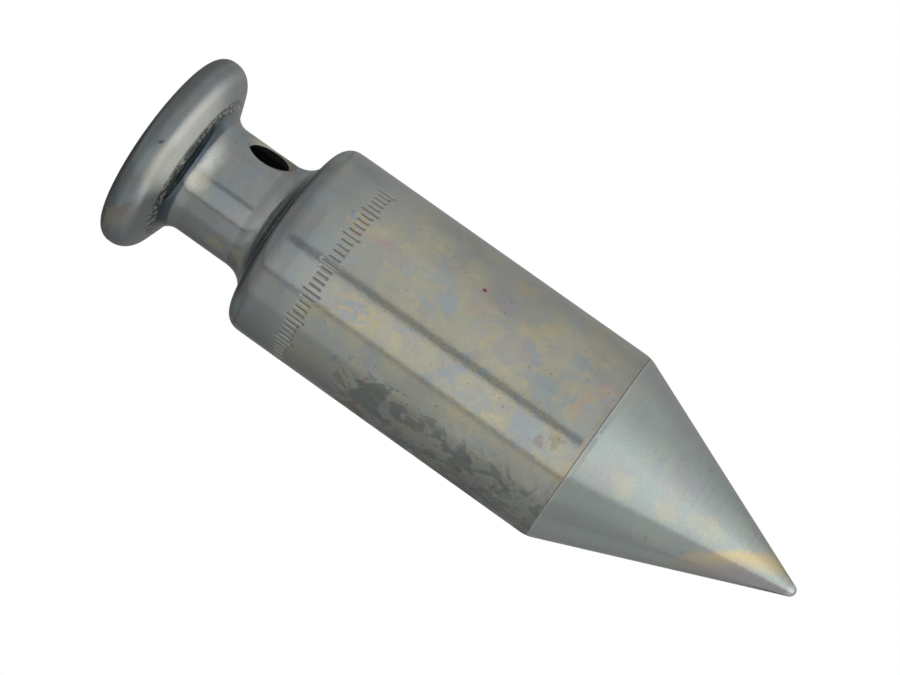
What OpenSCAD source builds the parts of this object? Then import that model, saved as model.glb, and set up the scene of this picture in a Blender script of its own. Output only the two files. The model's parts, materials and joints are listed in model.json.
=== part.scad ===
// Turned steel plumb bob: a body with a line head, and a point that screws into it.
// It hangs along Z with the point down. The origin is the mouth of the line hole, in the
// middle of the head's flat top. All sizes are in millimetres.

/* [Head] */
// Diameter over the head's rounded rim
head_d = 32.6; // [30:0.1:34]
// Radius of the rim's upper edge
head_edge_r = 2.2; // [1:0.1:2.6]
// Height of the straight land between the rim's two curves
head_land = 0.3; // [0.1:0.1:1]
// Radius of the rim's lower edge
head_under_r = 3.1; // [2:0.1:3.8]
// Slope of the head's underside down to the neck, in degrees
head_under_angle = 22; // [10:1:26]

/* [Neck] */
// Diameter of the neck
neck_d = 18; // [17:0.1:19]
// Radius of the fillet between the neck and the head
neck_top_r = 3; // [2:0.1:3.4]
// Radius of the fillet between the neck and the shoulder
neck_bottom_r = 4.2; // [3:0.1:4.6]
// Diameter of the hole across the neck, where the line is knotted
cross_hole_d = 6.6; // [5:0.1:7]
// Depth of the cross hole's axis below the head's top
cross_hole_depth = 15.2; // [14.8:0.1:15.6]
// Width of the countersink at each mouth of the cross hole, on the axial side
cross_hole_sink = 0.9; // [0.4:0.1:1.2]
// Diameter of the line hole down the middle of the head
line_hole_d = 3; // [2:0.1:4]

/* [Barrel] */
// Diameter of the barrel
barrel_d = 32; // [30:0.1:34]
// Depth at which the barrel reaches its full diameter, below the head's top
barrel_top = 25.7; // [25:0.1:28]
// Radius of the barrel's upper corner
shoulder_r = 2.5; // [1:0.1:3]
// Slope of the shoulder's face, in degrees
shoulder_angle = 14; // [5:1:18]
// Depth at which the barrel's full diameter ends and the taper begins
taper_depth = 77.1; // [70:0.1:90]
// Distance of the seam between body and point below the start of the taper
seam_drop = 1; // [0.1:0.1:2]

/* [Point] */
// Length of the taper, down to the tip
taper_len = 38; // [32:0.1:45]
// Radius that blends the full diameter into the cone
taper_blend_r = 5.2; // [3:0.1:7]
// Radius of the nose
nose_r = 1; // [0.5:0.1:2]

/* [Screwed joint] */
// Diameter of the point's spigot, over its thread
spigot_d = 12; // [8:0.5:16]
// Length of the spigot
spigot_len = 14; // [8:0.5:18]
// Chamfer round the spigot's end
spigot_chamfer = 1; // [0.5:0.1:1.5]
// Radial gap between the spigot and its socket
socket_gap = 0.05; // [0.03:0.01:0.1]
// Depth left empty beyond the spigot's end
socket_spare = 2; // [1:0.5:4]

/* [Hidden] */
$fn = 120;

steel_body = [0.52, 0.55, 0.52];
steel_point = [0.56, 0.60, 0.60];
drill_tip_angle = 118;
overlap = 1;

head_r = head_d / 2;
neck_r = neck_d / 2;
barrel_r = barrel_d / 2;
cross_r = cross_hole_d / 2;
line_r = line_hole_d / 2;
spigot_r = spigot_d / 2;
socket_r = spigot_r + socket_gap;
socket_depth = spigot_len + socket_spare;
socket_cone_h = socket_r / tan(drill_tip_angle / 2);
seam_depth = taper_depth + seam_drop;
tip_depth = taper_depth + taper_len;

// Points of the outline are [distance from the axis, height], from the head's top down.
// Rim of the head: an upper arc, a short land and a lower arc that runs into the underside.
rim_top_c = [head_r - head_edge_r, -head_edge_r];
rim_low_c = [head_r - head_under_r, -head_edge_r - head_land];
under_start = rim_low_c + head_under_r * [sin(head_under_angle), -cos(head_under_angle)];

// Fillet from the head's underside to the neck, touching both.
under_end_r = neck_r + neck_top_r * (1 - sin(head_under_angle));
under_end = [under_end_r, under_start[1] - (under_start[0] - under_end_r) * tan(head_under_angle)];
neck_top_c = [neck_r + neck_top_r, under_end[1] - neck_top_r * cos(head_under_angle)];

// Upper corner of the barrel, and the fillet from the shoulder's face to the neck.
corner_c = [barrel_r - shoulder_r, -barrel_top];
face_start = corner_c + shoulder_r * [sin(shoulder_angle), cos(shoulder_angle)];
face_end_r = neck_r + neck_bottom_r * (1 - sin(shoulder_angle));
face_end = [face_end_r, face_start[1] + (face_start[0] - face_end_r) * tan(shoulder_angle)];
neck_low_c = [neck_r + neck_bottom_r, face_end[1] + neck_bottom_r * cos(shoulder_angle)];

// Taper: an arc from the full diameter, a cone that touches it, and a round nose that touches the cone.
blend_c = [barrel_r - taper_blend_r, -taper_depth];
nose_c = [0, -tip_depth + nose_r];
blend_to_nose = blend_c - nose_c;
cone_angle = atan2(blend_to_nose[0], blend_to_nose[1])
    + asin((taper_blend_r - nose_r) / norm(blend_to_nose));
cone_out = [cos(cone_angle), -sin(cone_angle)];
cone_start = blend_c + taper_blend_r * cone_out;
cone_end = nose_c + nose_r * cone_out;

// Quarter of a disc about c, to the right of it and above (side 1) or below (side -1).
module quarter(c, r, side) {
    translate(c)
        intersection() {
            circle(r);
            translate([0, side > 0 ? 0 : -r])
                square([r, r]);
        }
}

// Half of the head's section, down to where the neck is straight.
module head_outline() {
    difference() {
        union() {
            polygon([
                [0, 0],
                [rim_top_c[0], 0],
                [head_r, rim_top_c[1]],
                [head_r, rim_low_c[1]],
                under_start,
                under_end,
                [neck_r, neck_top_c[1]],
                [0, neck_top_c[1]]
            ]);
            quarter(rim_top_c, head_edge_r, 1);
            quarter(rim_low_c, head_under_r, -1);
        }
        translate(neck_top_c)
            circle(neck_top_r);
    }
}

// Half of the barrel's section, from where the neck is straight down to where the taper begins.
module barrel_outline() {
    difference() {
        union() {
            polygon([
                [0, neck_low_c[1]],
                [neck_r, neck_low_c[1]],
                face_end,
                face_start,
                [barrel_r, corner_c[1]],
                [barrel_r, -taper_depth],
                [0, -taper_depth]
            ]);
            quarter(corner_c, shoulder_r, 1);
        }
        translate(neck_low_c)
            circle(neck_bottom_r);
    }
}

// The taper as one solid of revolution, shared by the body's lower end and the point.
module taper() {
    rotate_extrude()
        union() {
            polygon([[0, -taper_depth], [barrel_r, -taper_depth], cone_start, cone_end, nose_c]);
            quarter(blend_c, taper_blend_r, -1);
            quarter(nose_c, nose_r, -1);
        }
}

// The slice of the taper between two depths.
module taper_slice(top, bottom) {
    intersection() {
        taper();
        translate([0, 0, -bottom])
            cylinder(h = bottom - top, r = head_d);
    }
}

// One mouth of the cross hole: a 90 degree countersink opening along +X.
module cross_sink() {
    sink_start = neck_r - cross_hole_sink;
    translate([sink_start, 0, -cross_hole_depth])
        rotate([0, 90, 0])
            cylinder(h = 2 * cross_hole_sink, r1 = cross_r, r2 = cross_r + 2 * cross_hole_sink);
}

// Head, neck and barrel in one piece.
module bob_body() {
    color(steel_body)
        difference() {
            union() {
                rotate_extrude()
                    head_outline();
                rotate_extrude()
                    barrel_outline();
                translate([0, 0, neck_low_c[1] - overlap])
                    cylinder(h = neck_top_c[1] - neck_low_c[1] + 2 * overlap, r = neck_r);
                taper_slice(taper_depth, seam_depth);
            }
            // cross hole and its two countersinks
            translate([-head_d / 2, 0, -cross_hole_depth])
                rotate([0, 90, 0])
                    cylinder(h = head_d, r = cross_r);
            cross_sink();
            mirror([1, 0, 0])
                cross_sink();
            // line hole, from the head's top into the cross hole
            translate([0, 0, -cross_hole_depth])
                cylinder(h = cross_hole_depth + overlap, r = line_r);
            // socket for the point's spigot, with the drill's cone at its end
            translate([0, 0, -seam_depth - overlap])
                cylinder(h = socket_depth + overlap, r = socket_r);
            translate([0, 0, -seam_depth + socket_depth])
                cylinder(h = socket_cone_h, r1 = socket_r, r2 = 0);
        }
}

// Point with its spigot. The spigot's thread is drawn as a plain cylinder.
module screw_in_point() {
    color(steel_point)
        union() {
            taper_slice(seam_depth, tip_depth + overlap);
            translate([0, 0, -seam_depth - overlap])
                cylinder(h = spigot_len - spigot_chamfer + overlap, r = spigot_r);
            translate([0, 0, -seam_depth + spigot_len - spigot_chamfer])
                cylinder(h = spigot_chamfer, r1 = spigot_r, r2 = spigot_r - spigot_chamfer);
        }
}

bob_body();
screw_in_point();
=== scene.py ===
import json
import math

import bmesh
import bpy
import numpy as np
from mathutils import Matrix, Vector


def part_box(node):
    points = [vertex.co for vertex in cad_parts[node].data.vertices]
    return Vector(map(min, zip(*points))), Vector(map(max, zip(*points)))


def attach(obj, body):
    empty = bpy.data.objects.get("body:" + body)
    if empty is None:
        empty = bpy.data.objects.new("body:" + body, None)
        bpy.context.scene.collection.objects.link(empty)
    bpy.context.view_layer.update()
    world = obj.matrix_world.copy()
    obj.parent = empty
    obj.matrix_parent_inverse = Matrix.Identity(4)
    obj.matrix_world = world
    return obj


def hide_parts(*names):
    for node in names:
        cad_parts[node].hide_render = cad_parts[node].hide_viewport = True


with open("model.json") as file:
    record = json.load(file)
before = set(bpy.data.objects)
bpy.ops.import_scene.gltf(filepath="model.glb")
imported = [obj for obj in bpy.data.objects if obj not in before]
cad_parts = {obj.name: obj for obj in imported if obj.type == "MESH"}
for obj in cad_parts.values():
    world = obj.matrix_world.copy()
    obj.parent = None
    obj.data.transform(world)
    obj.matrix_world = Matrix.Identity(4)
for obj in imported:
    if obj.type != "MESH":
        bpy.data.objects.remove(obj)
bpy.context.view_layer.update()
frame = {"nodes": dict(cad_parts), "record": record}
mounts = {m["name"]: m for m in frame["record"]["mounts"]}
mm = 0.001
sharpAngle = 33          # degrees over which an edge isn't smoothed
mergeDistance = 1e-7     # metres
print("frame loaded:", sorted(frame["nodes"]))

# Sizes that the frame gives, in millimetres. Heights are below zero, from the head's top down.
bodyLow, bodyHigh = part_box("bob_body")
pointLow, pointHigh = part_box("screw_in_point")
headR = bodyHigh.x / mm
seamZ = bodyLow.z / mm
tipZ = pointLow.z / mm
spigotTop = pointHigh.z / mm
lineR = mounts["line_hole"]["dims"]["r_mm"]
crossR = mounts["cross_hole"]["dims"]["r_mm"]
crossZ = mounts["cross_hole"]["pos_m"][2] / mm

# Sides of the bob are told by an angle in degrees: 90 faces the camera, and the angle falls as
# the usual angle round Z rises.
frontAngle = 22.0        # the side angle of the +X axis


def sideOf(turn):
    # side angle of a usual angle in radians, between -90 and 270
    return (frontAngle - np.degrees(turn) + 90) % 360 - 90


# ---- camera

cameraSet = {
    "distance": 0.4008,   # metres from the bob's axis
    "sideways": 0.00135,  # metres to the right of the axis
    "height": -0.0836,    # metres, level with the bob just below its seam
    "lookUp": 4.49,       # degrees above level
    "roll": 54.65,        # degrees, so that the bob lies across the view
    "lens": 108.8,        # millimetres
    "sensor": 36,         # width in millimetres
    "near": 0.01,
    "far": 20,
}


def placeCamera(c):
    azimuth, lookUp, roll = (math.radians(a) for a in (frontAngle, c["lookUp"], c["roll"]))
    outward = Vector((math.sin(azimuth), -math.cos(azimuth), 0))
    toRight = Vector((math.cos(azimuth), math.sin(azimuth), 0))
    forward = -outward * math.cos(lookUp) + Vector((0, 0, math.sin(lookUp)))
    levelUp = toRight.cross(forward)
    up = levelUp * math.cos(roll) + toRight * math.sin(roll)
    right = forward.cross(up)
    turn = Matrix((right, up, -forward)).transposed().to_4x4()
    place = outward * c["distance"] + toRight * c["sideways"] + Vector((0, 0, c["height"]))
    data = bpy.data.cameras.new("mainCamera")
    data.lens = c["lens"]
    data.sensor_width = c["sensor"]
    data.clip_start = c["near"]
    data.clip_end = c["far"]
    camera = bpy.data.objects.new("mainCamera", data)
    camera.matrix_world = Matrix.Translation(place) @ turn
    bpy.context.scene.collection.objects.link(camera)
    bpy.context.scene.camera = camera


placeCamera(cameraSet)
bpy.context.scene.view_settings.view_transform = "Standard"
print("camera placed")

# ---- surfaces: helpers


def arc(centre, radius, start, stop, count):
    # centre plus radius times (cos, sin) of angles spread evenly from start to stop, in degrees
    a = np.radians(np.linspace(start, stop, count))
    return np.stack([centre[0] + radius * np.cos(a), centre[1] + radius * np.sin(a)], 1)


def line(start, stop, count):
    # points spread evenly from start to stop
    t = np.linspace(0, 1, count)[:, None]
    return np.asarray(start) * (1 - t) + np.asarray(stop) * t


def outline(*stretches):
    # stretches of (radius, height) points joined end to end, without points that repeat
    points = np.concatenate(stretches)
    step = np.linalg.norm(np.diff(points, axis=0), axis=1)
    return points[np.r_[True, step > 1e-6]]


def around(columns):
    # angles in radians spread evenly over a full turn
    return np.arange(columns) * 2 * np.pi / columns


def revolve(profile, columns):
    # each (r, z) of the profile turned to (r cos t, r sin t, z) for angles t spread over a full turn
    t = around(columns)
    r, z = profile[:, 0][:, None], profile[:, 1][:, None]
    return np.stack([r * np.cos(t), r * np.sin(t), z + 0 * t], 2)


def swell(points, amount):
    # moves points away from the Z axis by an amount in millimetres
    radius = np.hypot(points[..., 0], points[..., 1])
    return points * np.stack([1 + amount / radius] * 2 + [np.ones_like(radius)], -1)


class Shell:
    # a mesh in the making: blocks of vertices, then quads and triangles that index them

    def __init__(self):
        self.points, self.quads, self.tris, self.count = [], [], [], 0

    def add(self, points):
        # keeps points of shape (..., 3) and returns their indices in the same shape
        flat = points.reshape(-1, 3)
        index = self.count + np.arange(len(flat))
        self.points.append(flat)
        self.count += len(flat)
        return index.reshape(points.shape[:-1])

    def skin(self, grid, keep=None):
        # a quad between each two rows and columns of a grid of indices whose columns close on themselves
        ahead = np.roll(grid, -1, 1)
        quads = np.stack([grid[:-1], grid[1:], ahead[1:], ahead[:-1]], 2)
        self.quads.append((quads if keep is None else quads[keep]).reshape(-1, 4))

    def zip(self, ringA, angleA, ringB, angleB):
        # joins two closed rings of unlike counts: each segment meets the other ring's vertex at its middle
        orderA, orderB = np.argsort(angleA), np.argsort(angleB)
        a, b = ringA[orderA], ringB[orderB]
        middleA, middleB = (self.middles(v[o]) for v, o in ((angleA, orderA), (angleB, orderB)))
        toB = np.searchsorted(middleB, middleA) % len(b)
        toA = np.searchsorted(middleA, middleB) % len(a)
        self.tris.append(np.stack([a, b[toB], np.roll(a, -1)], 1))
        self.tris.append(np.stack([b, np.roll(b, -1), a[toA]], 1))

    @staticmethod
    def middles(angle):
        # the angle halfway to the next vertex, the last one going round past the first
        ahead = np.r_[angle[1:], angle[0] + 2 * np.pi]
        return (angle + ahead) / 2

    def cap(self, ring, centre):
        # a fan from a closed ring to one point
        pole = self.add(np.asarray(centre, float)[None])[0]
        self.tris.append(np.stack([ring, np.roll(ring, -1), np.full(len(ring), pole)], 1))

    def build(self, name):
        mesh = bpy.data.meshes.new(name)
        points = np.concatenate(self.points) * mm
        quads = np.concatenate(self.quads)
        tris = np.concatenate(self.tris)
        corners = np.concatenate([quads.ravel(), tris.ravel()])
        starts = np.r_[np.arange(len(quads)) * 4, len(quads) * 4 + np.arange(len(tris)) * 3]
        mesh.vertices.add(len(points))
        mesh.vertices.foreach_set("co", points.ravel().astype(np.float32))
        mesh.loops.add(len(corners))
        mesh.loops.foreach_set("vertex_index", corners.astype(np.int32))
        mesh.polygons.add(len(starts))
        mesh.polygons.foreach_set("loop_start", starts.astype(np.int32))
        mesh.update(calc_edges=True)
        work = bmesh.new()
        work.from_mesh(mesh)
        loose = [v for v in work.verts if not v.link_faces]
        bmesh.ops.delete(work, geom=loose, context="VERTS")
        bmesh.ops.remove_doubles(work, verts=work.verts, dist=mergeDistance)
        bmesh.ops.recalc_face_normals(work, faces=work.faces)
        openEdges = sum(1 for e in work.edges if len(e.link_faces) != 2)
        triangles = sum(len(f.verts) - 2 for f in work.faces)
        work.to_mesh(mesh)
        work.free()
        mesh.shade_smooth()
        mesh.set_sharp_from_angle(angle=math.radians(sharpAngle))
        piece = bpy.data.objects.new(name, mesh)
        bpy.context.scene.collection.objects.link(piece)
        print(name, triangles, "triangles,", openEdges, "open edges")
        return piece


# ---- taper that the barrel's end and the point share, and the screw thread

taperSet = {
    "barrelR": 16.0,
    "start": -77.1,      # height at which the full diameter ends
    "blendR": 5.2,
    "noseR": 1.0,
    "edgeR": 0.07,       # rounding of both edges at the seam
}
barrelR = taperSet["barrelR"]
blendCentre = np.array([barrelR - taperSet["blendR"], taperSet["start"]])


def seamEdge(t, above):
    # centre and slope of the small arc that touches the seam's plane and the blend from inside
    rise = t["edgeR"] if above else -t["edgeR"]
    slope = math.asin((t["start"] - seamZ - rise) / (t["blendR"] - t["edgeR"]))
    reach = t["blendR"] - t["edgeR"]
    return blendCentre + reach * np.array([math.cos(slope), -math.sin(slope)]), math.degrees(slope)


threadSet = {
    "spigotR": 6.0,
    "pitch": 1.75,       # millimetres a turn
    "depth": 0.95,       # crest to root
    "rootShare": 0.25,   # of half a turn
    "flankShare": 0.62,
    "socketShare": 0.6,  # depth of the socket's thread against the spigot's
    "rowsPerTurn": 10,
    "columns": 112,
}
spigotR = threadSet["spigotR"]


def threadWave(turns):
    # 1 on a crest, 0 in a root, straight flanks between: a fold of the fractional part of turns
    fold = np.abs((turns % 1) * 2 - 1)
    return np.clip((fold - threadSet["rootShare"]) / threadSet["flankShare"], 0, 1)


# ---- body: head, neck and barrel

bodySet = {
    "rimTopR": 2.2,
    "rimLand": 0.3,
    "rimLowR": 3.1,
    "underSlope": 22,
    "neckR": 9.0,
    "neckTopR": 3.0,
    "neckLowR": 4.2,
    "rollStart": -26.94,  # height at which the barrel begins to fall away towards the shoulder
    "rollR": 28.0,
    "rollAngle": 3.0,
    "shoulderR": 2.45,
    "shoulderSlope": 14,
    "sinkStart": 8.1,     # distance from the axis at which each countersink starts
    "mouthChamfer": 0.3,
    "rimMargin": 0.12,    # width of the lip round each countersink
    # (share of the way out from the bore, how far lowered) of the rings down each countersink
    "sinkRings": [(1, 0.035), (0.9, 0), (0.5, 0), (0.08, 0), (0, -0.01)],
    "socketGap": 0.05,
    "socketDepth": 16,
    "threadStop": 1.5,    # distances from the socket's end: last thread row, first plain row, end of the fade
    "plainStart": 1.4,
    "fadeStop": 2,
    "drillAngle": 118,
    "columns": 384,
    "patchHalf": 32,      # columns on each side of a cross hole's mouth that are laid out anew
    "patchAbove": 5.1,    # reach of that patch from the hole's axis
    "patchBelow": 5.2,
    "patchOut": 1.5,      # how far beyond the neck's radius it may go
    "patchSpare": 8,      # rows beyond it that its radius is read from
    "boreRings": 41,
    "holeHalf": 6,        # rings on each side of the line hole's foot
    "holeMargin": 0.45,
}

# A row of plain upright strokes cut round part of the barrel, every fifth one longer.
strokeSet = {
    "top": -31.0,
    "bottom": -36.0,
    "middle": -33.3,
    "columns": 960,
    "rows": 26,
    "firstSide": 36,      # degrees
    "lastSide": 246,
    "pitch": 3.6,         # degrees between strokes
    "width": 0.22,        # half of a stroke's width, millimetres
    "depth": 0.15,
    "short": 0.85,        # half of a stroke's length
    "long": 1.35,
}


def bodyOutline(b):
    # from the line hole's mouth over the head, down the neck and barrel, to the edge of the socket
    under, slope = (math.radians(b[k]) for k in ("underSlope", "shoulderSlope"))
    rimTop = np.array([headR - b["rimTopR"], -b["rimTopR"]])
    rimLow = np.array([headR - b["rimLowR"], -b["rimTopR"] - b["rimLand"]])
    underStart = rimLow + b["rimLowR"] * np.array([math.sin(under), -math.cos(under)])
    underEndR = b["neckR"] + b["neckTopR"] * (1 - math.sin(under))
    underEnd = np.array([underEndR, underStart[1] - (underStart[0] - underEndR) * math.tan(under)])
    neckTop = np.array([b["neckR"] + b["neckTopR"], underEnd[1] - b["neckTopR"] * math.cos(under)])
    roll = np.array([barrelR - b["rollR"], b["rollStart"]])
    tilt = math.radians(b["rollAngle"])
    corner = roll + (b["rollR"] - b["shoulderR"]) * np.array([math.cos(tilt), math.sin(tilt)])
    faceStart = corner + b["shoulderR"] * np.array([math.sin(slope), math.cos(slope)])
    faceEndR = b["neckR"] + b["neckLowR"] * (1 - math.sin(slope))
    faceEnd = np.array([faceEndR, faceStart[1] + (faceStart[0] - faceEndR) * math.tan(slope)])
    neckLow = np.array([b["neckR"] + b["neckLowR"], faceEnd[1] + b["neckLowR"] * math.cos(slope)])
    edge, edgeSlope = seamEdge(taperSet, True)
    mouth = b["mouthChamfer"]
    upper = outline(
        line([lineR + mouth, 0], [rimTop[0], 0], 8),
        arc(rimTop, b["rimTopR"], 90, 0, 11),
        line([headR, rimTop[1]], [headR, rimLow[1]], 2),
        arc(rimLow, b["rimLowR"], 0, b["underSlope"] - 90, 13),
        line(underStart, underEnd, 4),
        arc(neckTop, b["neckTopR"], 90 + b["underSlope"], 180, 11),
        line([b["neckR"], neckTop[1]], [b["neckR"], neckLow[1]], 26),
        arc(neckLow, b["neckLowR"], 180, 270 - b["shoulderSlope"], 14),
        line(faceEnd, faceStart, 4),
        arc(corner, b["shoulderR"], 90 - b["shoulderSlope"], b["rollAngle"], 12),
        arc(roll, b["rollR"], b["rollAngle"], 0, 5),
        line([barrelR, roll[1]], [barrelR, strokeSet["top"]], 3),
    )
    lower = outline(
        line([barrelR, strokeSet["bottom"]], [barrelR, taperSet["start"]], 14),
        arc(blendCentre, taperSet["blendR"], 0, -edgeSlope, 4),
        arc(edge, taperSet["edgeR"], -edgeSlope, -90, 4),
        line([edge[0], seamZ], [spigotR + b["socketGap"] + mouth, seamZ], 4),
    )
    return upper, lower


def strokeBand(s):
    # the barrel's surface less a groove: one minus the distance to the nearest stroke, smoothed
    heights = np.linspace(s["top"], s["bottom"], s["rows"])[:, None]
    turn = around(s["columns"])
    side = sideOf(turn)
    number = np.round((side - s["firstSide"]) / s["pitch"])
    across = np.radians(side - s["firstSide"] - number * s["pitch"]) * barrelR
    inside = (side > s["firstSide"] - 1) & (side < s["lastSide"] + 1)
    half = np.where(number % 5 == 0, s["long"], s["short"])
    beyond = np.maximum(np.abs(heights - s["middle"]) - half, 0)
    away = np.hypot(across, beyond) / s["width"]
    cut = s["depth"] * inside * np.clip(1 - away, 0, 1) ** 0.7
    radius = barrelR - cut
    return np.stack([radius * np.cos(turn), radius * np.sin(turn), heights + 0 * turn], 2)


def rectLoop(grid, rows, columns):
    # indices round the border of a block of a grid: along its first row, down, back and up
    top, bottom = grid[rows[0]], grid[rows[-1]]
    return np.concatenate([
        top[columns],
        grid[rows[1:-1], columns[-1]],
        bottom[columns[::-1]],
        grid[rows[-2:0:-1], columns[0]],
    ])


def sinkRim(angle, b, radiusAt):
    # where the 45 degree sink x = start + rho - r meets the turned surface, found by halving
    low = np.full(angle.shape, crossR)
    high = low + 4
    for _ in range(40):
        rho = (low + high) / 2
        x = b["sinkStart"] + rho - crossR
        outside = x**2 + (rho * np.sin(angle)) ** 2 > radiusAt(crossZ + rho * np.cos(angle)) ** 2
        high, low = np.where(outside, rho, high), np.where(outside, low, rho)
    return rho


def mouthRings(border, b, radiusAt):
    # rings from the border of the block at +X, over the turned surface to the rim, down the sink to the bore
    angle = np.arctan2(border[:, 1], border[:, 2] - crossZ)
    rho = sinkRim(angle, b, radiusAt)
    rings = []
    turnB, heightB = np.arctan2(border[:, 1], border[:, 0]), border[:, 2]
    wide = rho + b["rimMargin"]
    turnR = np.arcsin(wide * np.sin(angle) / radiusAt(crossZ + wide * np.cos(angle)))
    heightR = crossZ + wide * np.cos(angle)
    for k in np.linspace(0, 1, 7)[1:]:
        turn, height = turnB + (turnR - turnB) * k, heightB + (heightR - heightB) * k
        r = radiusAt(height)
        rings.append(np.stack([r * np.cos(turn), r * np.sin(turn), height], 1))
    for share, lowered in b["sinkRings"]:
        radius = crossR + (rho - crossR) * share
        x = b["sinkStart"] + radius - crossR - lowered
        rings.append(np.stack([x, radius * np.sin(angle), crossZ + radius * np.cos(angle)], 1))
    return angle, rings


def boreRings(angle, b):
    # circles of the bore's radius between the two sinks, crossing along X
    across = np.linspace(b["sinkStart"] - 0.05, 0.05 - b["sinkStart"], b["boreRings"])
    y, z = crossR * np.sin(angle), crossZ + crossR * np.cos(angle)
    return [np.stack([np.full(len(angle), x), y, z], 1) for x in across]


def lineHoleRings(border, b):
    # from the block's border in the bore's ceiling to the line hole's foot, then up its wall
    angle = np.arctan2(border[:, 1], border[:, 0])
    rings = []
    foot = lineR * np.stack([np.cos(angle), np.sin(angle)], 1)
    for k in (0.4, 0.75, 1):
        flat = border[:, :2] * (1 - k) + foot * k
        height = crossZ + np.sqrt(crossR**2 - flat[:, 1] ** 2)
        rings.append(np.column_stack([flat, height]))
    footZ = rings[-1][:, 2]
    for k in np.linspace(0, 1, 12)[1:]:
        height = footZ * (1 - k) - b["mouthChamfer"] * k
        rings.append(np.column_stack([foot, height]))
    return angle, rings


def socketRings(b):
    # a thread cut outwards from the socket's wall, a plain end and the drill's cone
    t = threadSet
    radius = spigotR + b["socketGap"]
    turn = around(t["columns"])
    threadTop = b["socketDepth"] - b["threadStop"]
    rows = round(threadTop / t["pitch"] * t["rowsPerTurn"])
    rise = np.linspace(b["mouthChamfer"], threadTop, rows)[:, None]
    fade = np.clip((b["socketDepth"] - b["fadeStop"] - rise) / t["pitch"], 0, 1)
    crest = threadWave(rise / t["pitch"] - turn / (2 * np.pi))
    cut = radius + t["socketShare"] * t["depth"] * (1 - crest) * fade
    wall = np.stack([cut * np.cos(turn), cut * np.sin(turn), seamZ + rise + 0 * turn], 2)
    endZ = seamZ + b["socketDepth"]
    ends = line([radius, endZ - b["plainStart"]], [radius, endZ], 3)
    coneTop = endZ + radius / math.tan(math.radians(b["drillAngle"] / 2))
    cone = line([radius, endZ], [0.3, coneTop - 0.18], 5)[1:]
    return turn, wall, revolve(np.concatenate([ends, cone]), t["columns"]), [0, 0, coneTop]


def makeBody(b):
    shell = Shell()
    upper, lower = bodyOutline(b)
    columns, half = b["columns"], b["patchHalf"]
    points = revolve(upper, columns)
    grid = shell.add(points)
    heights = upper[:, 1]
    nearHole = (heights < crossZ + b["patchAbove"]) & (heights > crossZ - b["patchBelow"])
    neckRows = np.flatnonzero(nearHole & (upper[:, 0] < b["neckR"] + b["patchOut"]))
    falling = slice(neckRows[0] - b["patchSpare"], neckRows[-1] + b["patchSpare"])
    radiusAt = lambda z: np.interp(-z, -upper[falling, 1], upper[falling, 0])
    keep = np.ones((len(upper) - 1, columns), bool)
    for middle in (0, columns // 2):
        cut = (np.arange(middle - half, middle + half)) % columns
        keep[np.ix_(neckRows[:-1], cut)] = False
    shell.skin(grid, keep)

    # band of strokes, and the barrel below it
    turn, fineTurn = around(columns), around(strokeSet["columns"])
    band = shell.add(strokeBand(strokeSet))
    shell.skin(band)
    shell.zip(grid[-1], turn, band[0], fineTurn)
    below = shell.add(revolve(lower, columns))
    shell.skin(below)
    shell.zip(band[-1], fineTurn, below[0], turn)

    # cross hole: one tube of rings from the block cut at +X to the one cut at -X
    nearColumns = np.arange(-half, half + 1) % columns
    farColumns = (nearColumns + columns // 2) % columns
    nearLoop, farLoop = (rectLoop(grid, neckRows, c) for c in (nearColumns, farColumns))
    count = len(nearLoop)
    flat = points.reshape(-1, 3)
    angle, mouth = mouthRings(flat[nearLoop], b, radiusAt)
    mirrored = (2 * half - np.arange(count)) % count
    farMouth = [ring * [-1, 1, 1] for ring in reversed(mouth)]
    bore = boreRings(angle, b)
    inner = shell.add(np.stack(mouth + bore + farMouth))
    tube = np.concatenate([nearLoop[None], inner, farLoop[mirrored][None]])
    keep = np.ones((len(tube) - 1, count), bool)
    middleRing = 1 + len(mouth) + len(bore) // 2
    holeRows = np.arange(middleRing - b["holeHalf"], middleRing + b["holeHalf"] + 1)
    wide = np.flatnonzero(np.abs(np.sin(angle)) * crossR < lineR + b["holeMargin"])
    holeColumns = wide[np.cos(angle[wide]) > 0]
    keep[np.ix_(holeRows[:-1], holeColumns[:-1])] = False
    shell.skin(tube, keep)

    # line hole, from the bore's ceiling to its mouth in the head
    allPoints = np.concatenate(shell.points)
    loop = rectLoop(tube, holeRows, holeColumns)
    lineTurn, rings = lineHoleRings(allPoints[loop], b)
    shaft = np.concatenate([loop[None], shell.add(np.stack(rings))])
    shell.skin(shaft)
    shell.zip(shaft[-1], lineTurn % (2 * np.pi), grid[0], turn)

    # socket for the spigot
    threadTurn, wall, end, top = socketRings(b)
    socket = np.concatenate([shell.add(wall), shell.add(end)])
    shell.zip(below[-1], turn, socket[0], threadTurn)
    shell.skin(socket)
    shell.cap(socket[-1], top)
    return shell.build("turnedBody")


# ---- point

pointSet = {
    "spigotChamfer": 1.0,
    "reliefLength": 1.6,
    "columns": 480,
    "burrSide": 82,       # degrees, where the cutter left a small burr on the edge
    "burrWidth": 1.0,     # degrees
    "burrHeight": 0.08,
    "burrCentre": 0.25,   # below the seam
    "burrReach": 0.5,     # up and down, and inwards from the barrel's radius
    "flangeGap": 1.2,     # from the spigot to the flange's first ring
    "footR": 0.4,         # fillet at the spigot's foot
    "footGap": 0.6,
}


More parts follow.
